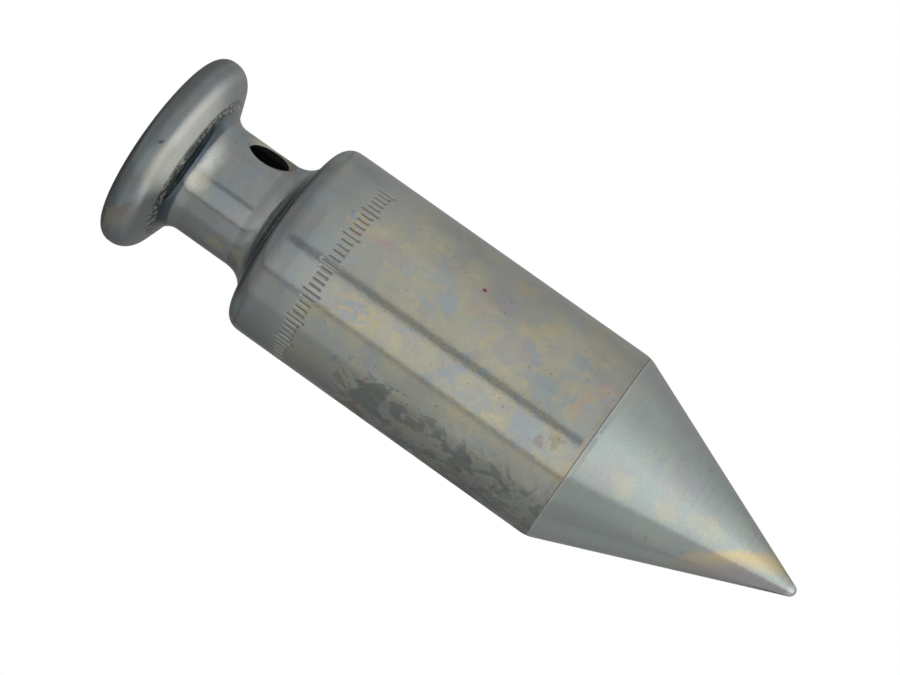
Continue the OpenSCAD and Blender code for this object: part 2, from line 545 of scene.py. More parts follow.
def pointOutline(p):
    # flange under the seam, the rest of the blend, a cone that touches it and a round nose
    t = taperSet
    nose = np.array([0, tipZ + t["noseR"]])
    gap = blendCentre - nose
    tilt = math.atan2(gap[0], gap[1]) + math.asin((t["blendR"] - t["noseR"]) / math.hypot(*gap))
    out = np.array([math.cos(tilt), -math.sin(tilt)])
    edge, edgeSlope = seamEdge(t, False)
    return outline(
        line([spigotR + p["flangeGap"], seamZ], [edge[0], seamZ], 5),
        arc(edge, t["edgeR"], 90, -edgeSlope, 6),
        arc(blendCentre, t["blendR"], -edgeSlope, -math.degrees(tilt), 12),
        line(blendCentre + t["blendR"] * out, nose + t["noseR"] * out, 60),
        arc(nose, t["noseR"], -math.degrees(tilt), -88, 14),
    )


def spigotRings(p):
    # relief at the foot, a thread that fades in, and a chamfer that trims it
    t = threadSet
    turn = around(t["columns"])
    length = spigotTop - seamZ
    rows = round((length - p["reliefLength"]) / t["pitch"] * t["rowsPerTurn"])
    rise = np.linspace(p["reliefLength"], length, rows)[:, None]
    fade = np.clip((rise - p["reliefLength"]) / t["pitch"] * 2, 0, 1)
    crest = threadWave(rise / t["pitch"] - turn / (2 * np.pi)) * fade
    radius = spigotR - t["depth"] * (1 - crest)
    radius = np.minimum(radius, spigotR - p["spigotChamfer"] + length - rise)
    thread = np.stack([radius * np.cos(turn), radius * np.sin(turn), seamZ + rise + 0 * turn], 2)
    root = spigotR - t["depth"]
    r = p["footR"]
    foot = outline(
        line([spigotR + p["footGap"], seamZ], [root + r, seamZ], 2),
        arc([root + r, seamZ + r], r, 270, 180, 5),
        line([root, seamZ + r], [root, seamZ + p["reliefLength"] - 0.05], 3),
    )
    return turn, np.concatenate([revolve(foot, t["columns"]), thread])


def makePoint(p):
    shell = Shell()
    points = revolve(pointOutline(p), p["columns"])
    side = sideOf(around(p["columns"]))
    below = np.clip(1 - np.abs(points[..., 2] - seamZ + p["burrCentre"]) / p["burrReach"], 0, 1)
    burr = np.exp(-((side - p["burrSide"]) / p["burrWidth"]) ** 2)
    far = np.hypot(points[..., 0], points[..., 1]) > barrelR - p["burrReach"]
    points = swell(points, p["burrHeight"] * burr * below * far)
    grid = shell.add(points)
    shell.skin(grid)
    shell.cap(grid[-1], [0, 0, tipZ])
    turn, rings = spigotRings(p)
    spigot = shell.add(rings)
    shell.skin(spigot)
    shell.zip(spigot[0], turn, grid[0], around(p["columns"]))
    shell.cap(spigot[-1], [0, 0, spigotTop])
    return shell.build("turnedPoint")


body = makeBody(bodySet)
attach(body, "bob")
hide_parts("bob_body")

point = makePoint(pointSet)
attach(point, "point")
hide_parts("screw_in_point")
print("pieces made")

# ---- materials: helpers


class Graph:
    # short ways to add nodes to a tree; a value may be a number, a colour or another node's socket

    def __init__(self, tree):
        self.tree = tree

    def node(self, kind, **settings):
        made = self.tree.nodes.new("ShaderNode" + kind)
        for name, value in settings.items():
            setattr(made, name, value)
        return made

    def wire(self, socket, value):
        if isinstance(value, bpy.types.NodeSocket):
            self.tree.links.new(value, socket)
        elif isinstance(value, tuple) and len(value) == 3 and len(socket.default_value) == 4:
            socket.default_value = (*value, 1)
        else:
            socket.default_value = value

    def math(self, operation, *values):
        made = self.node("Math", operation=operation)
        for socket, value in zip(made.inputs, values):
            self.wire(socket, value)
        return made.outputs[0]

    def add(self, a, b):
        return self.math("ADD", a, b)

    def times(self, *values):
        result = values[0]
        for value in values[1:]:
            result = self.math("MULTIPLY", result, value)
        return result

    def most(self, *values):
        result = values[0]
        for value in values[1:]:
            result = self.math("MAXIMUM", result, value)
        return result

    def smooth(self, value, low, high, start=0.0, stop=1.0):
        # start below low, stop above high, a smooth step between
        made = self.node("MapRange", interpolation_type="SMOOTHSTEP")
        names = ("Value", "From Min", "From Max", "To Min", "To Max")
        for name, v in zip(names, (value, low, high, start, stop)):
            self.wire(made.inputs[name], v)
        return made.outputs["Result"]

    def between(self, value, low, high, soft):
        # 1 from low to high, falling to 0 over soft at each end
        rise = self.smooth(value, low - soft, low)
        return self.times(rise, self.smooth(value, high, high + soft, 1.0, 0.0))

    def noise(self, point, scale, detail=2.0, rough=0.5, distortion=0.0, dimensions="3D"):
        made = self.node("TexNoise", noise_dimensions=dimensions)
        self.wire(made.inputs["W" if dimensions == "1D" else "Vector"], point)
        names = ("Scale", "Detail", "Roughness", "Distortion")
        for name, v in zip(names, (scale, detail, rough, distortion)):
            self.wire(made.inputs[name], v)
        return made.outputs["Fac"]

    def blot(self, point, scale, level, edge=0.03, detail=3.0, rough=0.5, distortion=0.4):
        # blotches: 1 where noise is over a level, with an edge of a given softness
        grain = self.noise(point, scale, detail, rough, distortion)
        if isinstance(level, bpy.types.NodeSocket):
            return self.smooth(self.math("SUBTRACT", grain, level), -edge, edge)
        return self.smooth(grain, level - edge, level + edge)

    def scaled(self, point, x, y, z, shift=0.0):
        made = self.node("Mapping")
        self.wire(made.inputs["Vector"], point)
        made.inputs["Scale"].default_value = (x, y, z)
        made.inputs["Location"].default_value = (shift, shift, shift)
        return made.outputs[0]

    def join(self, x, y, z):
        made = self.node("CombineXYZ")
        for socket, value in zip(made.inputs, (x, y, z)):
            self.wire(socket, value)
        return made.outputs[0]

    def mix(self, factor, a, b, blend="MIX"):
        made = self.node("Mix", data_type="RGBA", blend_type=blend)
        self.wire(made.inputs[0], factor)
        self.wire(made.inputs[6], a)
        self.wire(made.inputs[7], b)
        return made.outputs[2]

    def layer(self, colour, tint, *masks):
        # a tint over the colour, as strong as the masks and amounts multiplied together
        return self.mix(self.times(*masks), colour, tint)

    def tone(self, colour, factor):
        # the colour made lighter or darker by a factor
        made = self.node("VectorMath", operation="SCALE")
        self.wire(made.inputs[0], colour)
        self.wire(made.inputs["Scale"], factor)
        return made.outputs[0]

    def ramp(self, value, stops):
        # stops are (place, grey) pairs
        made = self.node("ValToRGB")
        ramp = made.color_ramp
        while len(ramp.elements) < len(stops):
            ramp.elements.new(0.5)
        for element, (place, grey) in zip(ramp.elements, stops):
            element.position = place
            element.color = (grey, grey, grey, 1)
        self.wire(made.inputs[0], value)
        return made.outputs[0]

    def use(self, group, **values):
        made = self.node("Group", node_tree=group)
        for name, value in values.items():
            self.wire(made.inputs[name], value)
        return made.outputs


def makeGroup(name, inputs, outputs, build):
    # a node group whose build function gets a graph and the inputs, and returns the outputs in order
    tree = bpy.data.node_groups.new(name, "ShaderNodeTree")
    for title, kind, value in inputs:
        socket = tree.interface.new_socket(title, in_out="INPUT", socket_type="NodeSocket" + kind)
        if value is not None:
            socket.default_value = value
    for title, kind in outputs:
        tree.interface.new_socket(title, in_out="OUTPUT", socket_type="NodeSocket" + kind)
    given, result = tree.nodes.new("NodeGroupInput"), tree.nodes.new("NodeGroupOutput")
    graph = Graph(tree)
    made = build(graph, *[given.outputs[title] for title, kind, value in inputs])
    for socket, value in zip(result.inputs, made):
        graph.wire(socket, value)
    return tree


def placeNodes(g):
    # side angle from atan2 of the turned position, depth below the head's top, position in millimetres
    position = g.node("TexCoord").outputs["Object"]
    inMm = g.node("VectorMath", operation="SCALE")
    g.wire(inMm.inputs[0], position)
    inMm.inputs["Scale"].default_value = 1000
    turned = g.node("Mapping")
    g.wire(turned.inputs["Vector"], inMm.outputs[0])
    turned.inputs["Rotation"].default_value = (0, 0, math.radians(90 - frontAngle))
    parts = g.node("SeparateXYZ")
    g.wire(parts.inputs[0], turned.outputs[0])
    x, y, z = parts.outputs
    turn = g.math("ARCTAN2", g.times(y, -1.0), x)
    side = g.add(g.math("DEGREES", turn), 90.0)
    radius = g.math("SQRT", g.add(g.times(x, x), g.times(y, y)))
    return side, g.times(z, -1.0), inMm.outputs[0], radius


placeGroup = makeGroup("bobPlace", [], [("Side", "Float"), ("Depth", "Float"), ("Point", "Vector"),
                                        ("Radius", "Float")], placeNodes)


def spotNodes(g, side, depth, point, atSide, atDepth, halfSide, halfDepth, lean, ragged):
    # 1 inside an oval with a ragged edge: how far out a place is, plus noise, through a smooth step
    down = g.math("SUBTRACT", depth, atDepth)
    across = g.math("SUBTRACT", g.math("SUBTRACT", side, atSide), g.times(down, lean))
    a, b = g.math("DIVIDE", across, halfSide), g.math("DIVIDE", down, halfDepth)
    out = g.math("SQRT", g.add(g.times(a, a), g.times(b, b)))
    wild = g.times(g.math("SUBTRACT", g.noise(point, 0.6, 4.0, 0.65), 0.5), ragged)
    return [g.smooth(g.add(out, wild), 0.6, 1.25, 1.0, 0.0)]


spotGroup = makeGroup("stainSpot", [
    ("Side", "Float", 0.0), ("Depth", "Float", 0.0), ("Point", "Vector", None),
    ("At Side", "Float", 90.0), ("At Depth", "Float", 50.0), ("Half Side", "Float", 5.0),
    ("Half Depth", "Float", 2.0), ("Lean", "Float", 0.0), ("Ragged", "Float", 1.5),
], [("Mask", "Float")], spotNodes)


def spots(g, place, rows):
    # the strongest of several spots, each row (side, depth, half side, half depth, lean, ragged)
    masks = []
    for side, depth, halfSide, halfDepth, lean, ragged in rows:
        values = {"At Side": side, "At Depth": depth, "Half Side": halfSide, "Half Depth": halfDepth,
                  "Lean": lean, "Ragged": ragged}
        values = {name: float(value) for name, value in values.items()}
        out = g.use(spotGroup, Side=place["Side"], Depth=place["Depth"], Point=place["Point"], **values)
        masks.append(out["Mask"])
    return g.most(*masks)


def turnedNodes(g, point, depth, radius, feed, axial):
    # tool marks: rings by noise along the profile, a little wobble, and streaks along the axis
    along = g.add(depth, g.times(radius, 0.6))
    wobble = g.times(g.noise(point, 0.25, 2.0), 0.25)
    rings = g.noise(g.add(along, wobble), feed, 3.0, 0.65, 0.0, "1D")
    streaks = g.noise(g.scaled(point, 2.2, 2.2, 0.06), 1.0, 3.0, 0.6)
    grain = g.noise(point, 3.2, 3.0, 0.6)
    high = g.add(g.times(rings, g.math("SUBTRACT", 1.0, axial)), g.times(streaks, axial))
    return [high, grain]


turnedGroup = makeGroup("turnedMarks", [
    ("Point", "Vector", None), ("Depth", "Float", 0.0), ("Radius", "Float", 0.0),
    ("Feed", "Float", 4.0), ("Axial", "Float", 0.3),
], [("Marks", "Float"), ("Grain", "Float")], turnedNodes)


def speckNodes(g, point, size, level):
    # small round specks: the inner part of scattered cells, only where a broad noise allows
    cells = g.node("TexVoronoi")
    g.wire(cells.inputs["Vector"], point)
    g.wire(cells.inputs["Scale"], size)
    few = g.smooth(g.noise(point, 0.35, 2.0), level, g.add(level, 0.06))
    return [g.times(g.smooth(cells.outputs["Distance"], 0.08, 0.2, 1.0, 0.0), few)]


speckGroup = makeGroup("specks", [
    ("Point", "Vector", None), ("Size", "Float", 0.5), ("Level", "Float", 0.55),
], [("Mask", "Float")], speckNodes)


def startMaterial(name):
    material = bpy.data.materials.new(name)
    material.use_nodes = True
    g = Graph(material.node_tree)
    place = g.use(placeGroup)
    shader = material.node_tree.nodes["Principled BSDF"]
    return material, g, place, shader


def finishShader(g, shader, colour, metallic, roughness, heights):
    # heights are (height, strength, distance in millimetres) rows that become one chain of bumps
    g.wire(shader.inputs["Base Color"], colour)
    g.wire(shader.inputs["Metallic"], metallic)
    g.wire(shader.inputs["Roughness"], roughness)
    normal = None
    for height, strength, distance in heights:
        bump = g.node("Bump")
        bump.inputs["Strength"].default_value = strength
        bump.inputs["Distance"].default_value = distance * mm
        g.wire(bump.inputs["Height"], height)
        if normal is not None:
            g.wire(bump.inputs["Normal"], normal)
        normal = bump.outputs[0]
    g.wire(shader.inputs["Normal"], normal)


# ---- finish of the body

bodyFinish = {
    "greyGreen": (0.350, 0.360, 0.320),
    "green": (0.325, 0.370, 0.345),
    "khaki": (0.400, 0.385, 0.295),
    "straw": (0.470, 0.420, 0.265),
    "blueGrey": (0.310, 0.355, 0.375),
    "mauve": (0.345, 0.315, 0.325),
    "neckBlue": (0.265, 0.305, 0.320),
    "neckGreen": (0.275, 0.300, 0.280),
    # cream: the colour of the painted glints in the gritty band
    "cream": (0.520, 0.520, 0.440),
    "stain": (0.112, 0.132, 0.126),
    "pink": (0.450, 0.320, 0.270),
    "brown": (0.190, 0.130, 0.085),
    "ochre": (0.520, 0.400, 0.180),
    "rust": (0.230, 0.110, 0.070),
    "redDot": (0.250, 0.020, 0.020),
    # painted shade for the creases, and a painted reflection of the lens
    "crease": (0.060, 0.085, 0.110),
    # painted highlight under the head and at the top of the neck
    "paintedHighlight": (0.960, 0.970, 0.900),
    "metallic": 0.93,
    "dirtyMetallic": 0.6,
    "roughness": 0.13,
    "dirtyRoughness": 0.45,
    "headRoughness": 0.12,     # more than the rest has
    "dullMetallic": 0.75,      # less than the rest has, under the head
    "dullRoughness": 0.3,
    # depths of features, from the head's top down
    "barrelStarts": (26.0, 29.5),
    "gritBand": (6.35, 6.75),
    # depths of the painted shade in the crease under the head and in the crease at the shoulder
    "paintedShadeUnderHead": (6.75, 7.9),
    "paintedShadeAtShoulder": (22.5, 23.6),
    "nearHole": (10.4, 20.0),
    "strokes": (31, 36),
    # single spots: (side, depth, half its width in degrees, half its height, lean, raggedness)
    "blueSpots": [
        (55, 70.6, 6, 1.5, 0.0, 2.5), (77, 68.5, 5, 1.9, 0.0, 3.0), (67, 64.5, 4, 2.0, 2.0, 3.0),
        (71, 50, 6, 2.0, 0.0, 3.5), (98, 56.5, 4, 1.8, -3.0, 3.0), (100, 70, 8, 3.2, 0.0, 3.0),
    ],
    "oliveSpots": [(138, 20.5, 9, 1.6, 0.0, 3.0), (146, 16.5, 8, 2.0, 0.0, 3.0)],
    "brownSpots": [(98, 74, 5, 1.2, 0.0, 6.0), (101, 72, 3, 0.6, 0.0, 5.0)],
    "pinkSpots": [
        (65, 54, 4, 1.6, 0.0, 4.0), (66, 36.5, 2.2, 4.0, -0.8, 3.0), (74, 74, 9, 0.8, 0.0, 5.0),
        (60, 75.5, 8, 1.0, 0.0, 4.0),
    ],
    "ochreSpots": [(101, 41, 8, 5.0, 0.0, 1.5), (62, 33, 5, 2.0, 0.0, 1.5)],
    "rustSpots": [
        (160, 46, 7, 2.6, 0.0, 3.0), (150, 1.8, 16, 1.0, 0.0, 5.0), (132, 3.4, 10, 0.8, 0.0, 6.0),
        (34, 19.4, 4, 0.5, 0.0, 1.0),
    ],
    "redSpot": [(52.5, 53.3, 1.1, 0.32, 0.0, 0.6)],
    # a painted reflection of the lens on the head's rim, as a small dark spot
    "paintedLensReflection": [(89, 3.3, 1.1, 0.35, -2.0, 0.3)],
}


def barrelColour(g, f, place):
    # khaki ground, blue-grey islands, straw and mauve patches, greener on one side
    side, depth, point = (place[k] for k in ("Side", "Depth", "Point"))
    warmZone = g.times(g.between(side, 50, 112, 30), g.smooth(depth, 34, 44))
    level = g.math("SUBTRACT", 0.54, g.times(warmZone, 0.08))
    khaki = g.blot(point, 0.19, level, 0.07, 5.0, 0.6, 0.5)
    colour = g.layer(f["greyGreen"], f["khaki"], khaki, 0.8)
    straw = g.blot(g.scaled(point, 1, 1, 1, 31.0), 0.3, 0.575, 0.05, 4.0, 0.6, 0.6)
    colour = g.layer(colour, f["straw"], straw, khaki, 0.55)
    blue = g.blot(g.scaled(point, 1, 1, 0.8, 57.0), 0.27, 0.58, 0.03, 3.0, 0.5, 0.7)
    colour = g.layer(colour, f["blueGrey"], blue, 0.6)
    colour = g.layer(colour, f["blueGrey"], spots(g, place, f["blueSpots"]), 0.8)
    mauve = g.blot(g.scaled(point, 1, 1, 1, 83.0), 0.22, 0.585, 0.06)
    colour = g.layer(colour, f["mauve"], mauve, 0.5)
    green = g.times(g.smooth(side, 112, 124), g.smooth(side, 200, 240, 1.0, 0.0))
    colour = g.layer(colour, f["green"], green, 0.45)
    cool = g.most(g.smooth(depth, 36, 28), g.times(g.smooth(side, 62, 40), g.smooth(depth, 40, 30)))
    colour = g.layer(colour, f["blueGrey"], cool, 0.6)
    return g.tone(colour, g.smooth(depth, 28, 35, 0.86, 1.0))


def neckColour(g, f, place):
    # blue-green with faint mauve, khaki and olive clouds
    point = place["Point"]
    ground = g.smooth(g.noise(point, 0.13, 3.0, 0.55, 0.5), 0.42, 0.6)
    colour = g.mix(ground, f["neckBlue"], f["neckGreen"])
    mauve = g.blot(g.scaled(point, 1, 1, 1, 12.0), 0.17, 0.56, 0.09)
    colour = g.layer(colour, f["mauve"], mauve, 0.45)
    khaki = g.blot(g.scaled(point, 1, 1, 1, 44.0), 0.2, 0.62, 0.09)
    colour = g.layer(colour, f["khaki"], khaki, 0.35)
    return g.layer(colour, f["straw"], spots(g, place, f["oliveSpots"]), 0.5)


def makeBodyMaterial(f):
    material, g, place, shader = startMaterial("mottledPlating")
    side, depth, point, radius = (place[k] for k in ("Side", "Depth", "Point", "Radius"))
    barrel = g.smooth(depth, *f["barrelStarts"])
    # painted shade at the shoulder's corner, on the sides facing the camera
    cornerPaintedShade = g.times(g.between(depth, 24.5, 28, 1.5), g.between(side, 74, 104, 14))
    colour = g.mix(barrel, neckColour(g, f, place), barrelColour(g, f, place))

    # dark stains low on one side, single marks, and a painted reflection of the lens on the head's rim
    stainSides = g.times(g.smooth(side, 116, 136), g.smooth(side, 175, 215, 1.0, 0.0))
    stainZone = g.times(stainSides, g.between(depth, 45, 90, 7))
    lowest = g.math("SUBTRACT", 0.68, g.times(stainZone, 0.15))
    broadStain = g.blot(g.scaled(point, 1, 1, 0.6, 7.0), 0.2, lowest, 0.045, 3.0, 0.5, 1.4)
    smallStain = g.blot(g.scaled(point, 1, 1, 0.8, 17.0), 0.42, lowest, 0.04, 2.0, 0.45, 1.0)
    stain = g.times(g.most(broadStain, g.times(smallStain, 0.8)), stainZone)
    redGrit = g.blot(g.scaled(point, 1, 1, 1, 63.0), 1.3, 0.64, 0.04, 2.0)
    ochre = g.blot(g.scaled(point, 1, 1, 1, 27.0), 0.9, 0.54, 0.04, 3.0, 0.6, 0.5)
    rusty = spots(g, place, f["rustSpots"])
    specks = g.use(speckGroup, Point=point, Size=0.8, Level=0.56)["Mask"]
    fineSpecks = g.use(speckGroup, Point=point, Size=2.2, Level=0.5)["Mask"]
    allSpecks = g.add(g.times(specks, 0.6), g.times(fineSpecks, 0.4))
    for tint, *masks in (
        ("stain", stain, 0.72),
        ("rust", redGrit, stainZone, 0.5),
        ("brown", spots(g, place, f["brownSpots"]), 0.32),
        ("pink", spots(g, place, f["pinkSpots"]), 0.35),
        ("ochre", ochre, spots(g, place, f["ochreSpots"]), 0.5),
        ("rust", rusty, 0.32),
        ("stain", allSpecks, barrel, 0.8),
        ("redDot", spots(g, place, f["redSpot"]), 0.9),
        # painted reflection: a small dark spot where the lens shows on the head's rim
        ("crease", spots(g, place, f["paintedLensReflection"]), 0.75),
    ):
        colour = g.layer(colour, f[tint], *masks)

    # underside of the head: painted shade on the top and rim, a duller finish with a painted highlight, then
    # painted shade in the crease
    # painted shade: the head's top and rim darker, most on sides below 104 degrees
    colour = g.tone(colour, g.smooth(depth, 3.2, 4.6, g.smooth(side, 104, 145, 0.7, 0.92), 1.0))
    dullSides = g.times(g.smooth(side, 5, 84), g.smooth(side, 92, 138, 1.0, 0.0))
    dullDepth = g.times(g.smooth(depth, 3.7, 5.0), g.smooth(depth, 6.2, 6.7, 1.0, 0.0))
    dull = g.times(dullDepth, g.smooth(dullSides, 0, 1, 0.12, 1.0))
    # painted highlight: a pale colour laid where the underside is made duller, mostly on the front sides
    colour = g.layer(colour, f["paintedHighlight"], dull, 0.96)
    # painted highlight: a warm tint at the front of it
    warmPaintedHighlight = g.times(g.between(side, 90, 108, 8), g.between(depth, 4.0, 5.0, 0.7))
    colour = g.layer(colour, f["straw"], warmPaintedHighlight, 0.35)
    # painted shade: a dark blue crease under the head, strongest on the front sides
    creaseShadeSides = g.smooth(g.between(side, 54, 150, 25), 0, 1, 0.3, 0.85)
    colour = g.layer(colour, f["crease"], g.between(depth, *f["paintedShadeUnderHead"], 0.4), creaseShadeSides)

    # top of the neck: a painted highlight again, with an uneven lower edge and a warm tint at its front
    uneven = g.math("SUBTRACT", g.noise(point, 0.7, 3.0), 0.5)
    neckHighlightDepth = g.add(depth, uneven)
    paintedNeckHighlight = g.times(g.smooth(neckHighlightDepth, 7.8, 9.0), g.smooth(neckHighlightDepth, 9.2, 11.6, 1.0, 0.0))
    paintedNeckHighlight = g.times(paintedNeckHighlight, g.smooth(side, 42, 88), g.smooth(side, 98, 114, 1.0, 0.0))
    # painted highlight, with a warm painted tint at its front
    colour = g.layer(colour, f["paintedHighlight"], paintedNeckHighlight, 0.8)
    colour = g.layer(colour, f["straw"], paintedNeckHighlight, g.between(side, 90, 104, 8), 0.45)

    # a gritty band above the crease, whose cream dots are painted glints, and painted shade in the crease at
    # the shoulder
    gritBand = g.between(depth, *f["gritBand"], 0.15)
    gritAndGlints = g.blot(g.scaled(point, 1, 1, 1, 5.0), 1.3, 0.55, 0.05, 2.0)
    colour = g.layer(colour, f["stain"], gritBand, 0.8)
    # painted glints: cream dots on the gritty band
    colour = g.layer(colour, f["cream"], gritBand, gritAndGlints)
    # painted shade in the crease at the shoulder, on the front sides
    shoulderPaintedShade = g.times(g.between(depth, *f["paintedShadeAtShoulder"], 0.8), g.between(side, 58, 126, 22))
    colour = g.layer(colour, f["crease"], shoulderPaintedShade, 0.6)
    # painted light on the low neck and on the far sides of the shoulder, and painted shade at the shoulder's
    # corner
    lowNeckPaintedLight = g.times(g.smooth(depth, 17.8, 21.0), g.smooth(depth, 21.2, 22.8, 1.0, 0.0))
    otherSides = g.smooth(g.between(side, 50, 125, 25), 0, 1, 1.0, 0.0)
    farShoulderPaintedLight = g.times(g.between(depth, 21.5, 24.5, 1.2), otherSides)
    colour = g.tone(colour, g.smooth(cornerPaintedShade, 0, 1, 1.0, 0.84))
    colour = g.tone(colour, g.add(1.0, g.add(g.times(lowNeckPaintedLight, 0.6), g.times(farShoulderPaintedLight, 0.8))))

    # mouths of the cross hole: tan sinks, then painted shade that darkens the bore
    nearHole = g.between(depth, *f["nearHole"], 0.1)
    colour = g.layer(colour, f["khaki"], nearHole, g.smooth(radius, 8.97, 8.9), 0.7)
    # painted shade: the bore darkened with the stain colour
    colour = g.layer(colour, f["stain"], nearHole, g.smooth(radius, 8.05, 7.6), 0.9)

    # seam: brown tint on the last millimetres, a rusty line at the edge; then dirt in the strokes
    fromSeam = g.add(depth, g.times(g.noise(point, 0.5, 3.0), 1.2))
    colour = g.layer(colour, f["brown"], g.smooth(fromSeam, -seamZ - 1.2, -seamZ + 0.6), 0.2)
    atSeam = g.add(depth, g.times(g.noise(point, 1.2, 3.0), 0.2))
    seamLine = g.smooth(atSeam, -seamZ - 0.1, -seamZ + 0.06)
    colour = g.layer(colour, f["brown"], seamLine, g.smooth(side, 60, 130, 0.7, 0.4))
    deep = g.smooth(radius, barrelR - 0.04, barrelR - 0.12)
    deep = g.times(deep, g.between(depth, *f["strokes"], 0.1))
    colour = g.layer(colour, f["brown"], deep, 0.55)

    # broad and fine changes of tone
    marks = g.use(turnedGroup, Point=point, Depth=depth, Radius=radius, Feed=5.0, Axial=0.5)
    broad = g.smooth(g.noise(point, 0.07, 3.0), 0.3, 0.7, 0.92, 1.08)
    fineTone = g.smooth(marks["Grain"], 0.3, 0.7, 0.95, 1.05)
    colour = g.tone(colour, g.times(broad, fineTone))

    dirty = g.most(stain, rusty, seamLine, deep)
    metallic = g.smooth(dirty, 0, 1, f["metallic"], f["dirtyMetallic"])
    metallic = g.math("SUBTRACT", metallic, g.most(g.times(dull, f["dullMetallic"]), g.times(paintedNeckHighlight, 0.35)))
    roughness = g.smooth(dirty, 0, 1, f["roughness"], f["dirtyRoughness"])
    roughness = g.add(roughness, g.smooth(marks["Grain"], 0.4, 0.8, 0, 0.06))
    roughness = g.add(roughness, g.most(g.times(dull, f["dullRoughness"]), g.times(paintedNeckHighlight, 0.2)))
    roughness = g.add(roughness, g.smooth(depth, 7.0, 5.0, 0.0, f["headRoughness"]))
    smallWaves = g.noise(g.scaled(point, 1, 1, 0.5), 0.6, 2.0)
    hatch = g.noise(g.scaled(point, 1, 1, 1.5, 3.0), 2.4, 1.0)
    dents = g.noise(g.scaled(point, 1, 1, 1.6), 0.9, 2.0, 0.6)
    finishShader(g, shader, colour, metallic, roughness, [
        (smallWaves, 0.2, 0.06), (dents, 0.2, 0.03), (marks["Marks"], 0.15, 0.015), (hatch, 0.5, 0.013),
        (marks["Grain"], 0.15, 0.015), (g.times(gritBand, gritAndGlints), 0.6, 0.12),
    ])
    return material


# ---- finish of the point

pointFinish = {
    "teal": (0.325, 0.375, 0.360),
    "cream": (0.430, 0.430, 0.350),
    "straw": (0.500, 0.440, 0.270),
    "gold": (0.540, 0.440, 0.250),
    "mauve": (0.350, 0.310, 0.310),
    "violet": (0.320, 0.330, 0.370),
    "pale": (0.520, 0.560, 0.560),
    "stain": (0.140, 0.130, 0.120),
    "metallic": 0.94,
    "stainMetallic": 0.5,
    "dullMetallic": 0.45,      # less than the rest has, on one side
    "roughness": 0.17,
    "stainRoughness": 0.4,
    "heatDepth": 108.6,        # where the heat-tinted band begins on the front
    "heatRise": 12.5,          # how much higher it begins on the far side
    # single spots, in the same order of values as the body's
    "strawSpots": [(97, 85.5, 8, 2.0, 0.0, 3.0), (95, 93, 8, 1.8, 0.0, 3.0), (88, 99, 16, 3, 0.0, 3.0)],
    "violetSpots": [(62, 94, 9, 1.5, 0.0, 3.0), (72, 88, 8, 0.8, 0.0, 3.0), (58, 105, 8, 1, 0.0, 3.0)],
    "stainSpots": [(36, 94.5, 7, 0.3, 0.0, 2.5), (126, 92.5, 3, 0.2, 2.0, 2.0),
                   (127, 98, 4, 0.2, 1.0, 3.0), (72, 104, 1.0, 0.15, 0.0, 0.5)],
}


